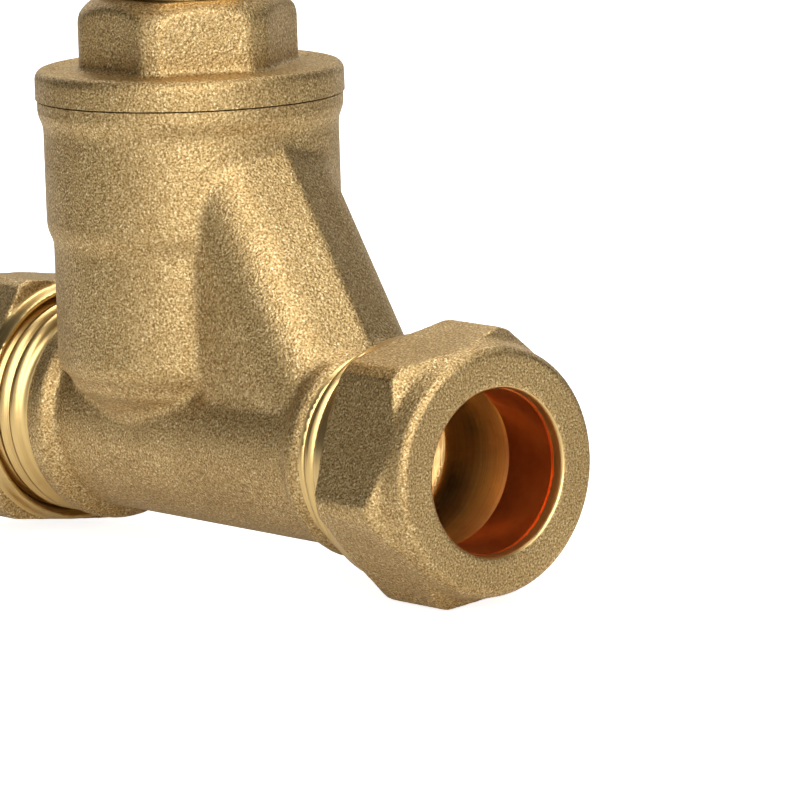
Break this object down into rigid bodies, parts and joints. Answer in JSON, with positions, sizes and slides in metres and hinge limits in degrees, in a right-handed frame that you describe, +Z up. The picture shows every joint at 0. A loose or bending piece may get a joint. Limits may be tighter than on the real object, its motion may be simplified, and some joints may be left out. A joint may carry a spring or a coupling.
{
  "type": "compression stopcock",
  "caption": "Brass screw-down stopcock with slanted outlet neck, crutch handle and a compression nut with copper olive on each end, for plain copper water pipe.",
  "frame": {"origin": "on the pipe axis at the pipe stop inside the inlet socket", "axes": "+X along the pipe from inlet to outlet, +Z up the spindle to the handle, +Y across"},
  "size_m": [0.075, 0.046, 0.0762],
  "materials": {
    "stamped_brass": "shot-blasted hot-stamped brass",
    "turned_brass": "bright machined brass",
    "copper": "bright copper",
    "rubber": "black moulded rubber",
    "fibre": "red fibre sheet"
  },
  "bodies": {
    "valve_body": {"body": "stamped_brass", "bonnet": "stamped_brass", "bonnet_gasket": "fibre", "gland_packing": "rubber"},
    "jumper_valve": {"jumper": "turned_brass", "jumper_washer": "rubber", "jumper_nut": "turned_brass"},
    "spindle_and_handle": {"spindle": "turned_brass", "crutch_handle": "stamped_brass", "handle_screw": "turned_brass"},
    "gland_follower": {"gland_ring": "turned_brass"},
    "gland_screw": {"gland_nut": "turned_brass"},
    "inlet_olive_ring": {"inlet_olive": "copper"},
    "inlet_nut_body": {"inlet_nut": "stamped_brass"},
    "outlet_olive_ring": {"outlet_olive": "copper"},
    "outlet_nut_body": {"outlet_nut": "stamped_brass"}
  },
  "joints": [
    {"name": "jumper_lift", "type": "slide", "parent": "valve_body", "child": "jumper_valve", "axis": [0, 0, 1], "range_m": [0, 0.006]},
    {"name": "spindle_turn", "type": "hinge", "parent": "jumper_valve", "child": "spindle_and_handle", "pos_m": [0.0144, 0, 0.03], "axis": [0, 0, 1], "range_deg": [0, 1080]},
    {"name": "gland_lift", "type": "slide", "parent": "valve_body", "child": "gland_follower", "axis": [0, 0, 1], "range_m": [0, 0.0025]},
    {"name": "gland_nut_turn", "type": "hinge", "parent": "gland_follower", "child": "gland_screw", "pos_m": [0.0144, 0, 0.042], "axis": [0, 0, 1], "range_deg": [0, 900]},
    {"name": "inlet_olive_slide", "type": "slide", "parent": "valve_body", "child": "inlet_olive_ring", "axis": [-1, 0, 0], "range_m": [0, 0.0127]},
    {"name": "inlet_nut_turn", "type": "hinge", "parent": "inlet_olive_ring", "child": "inlet_nut_body", "pos_m": [-0.012, 0, 0], "axis": [-1, 0, 0], "range_deg": [0, 2520]},
    {"name": "outlet_olive_slide", "type": "slide", "parent": "valve_body", "child": "outlet_olive_ring", "axis": [1, 0, 0], "range_m": [0, 0.0127]},
    {"name": "outlet_nut_turn", "type": "hinge", "parent": "outlet_olive_ring", "child": "outlet_nut_body", "pos_m": [0.053, 0, 0], "axis": [1, 0, 0], "range_deg": [0, 2520]}
  ],
  "couplings": [
    {"joint": "jumper_lift", "follows": "spindle_turn", "m_per_rad": 0.0003183},
    {"joint": "gland_lift", "follows": "gland_nut_turn", "m_per_rad": 0.00015915},
    {"joint": "inlet_olive_slide", "follows": "inlet_nut_turn", "m_per_rad": 0.0002887},
    {"joint": "outlet_olive_slide", "follows": "outlet_nut_turn", "m_per_rad": 0.0002887}
  ]
}
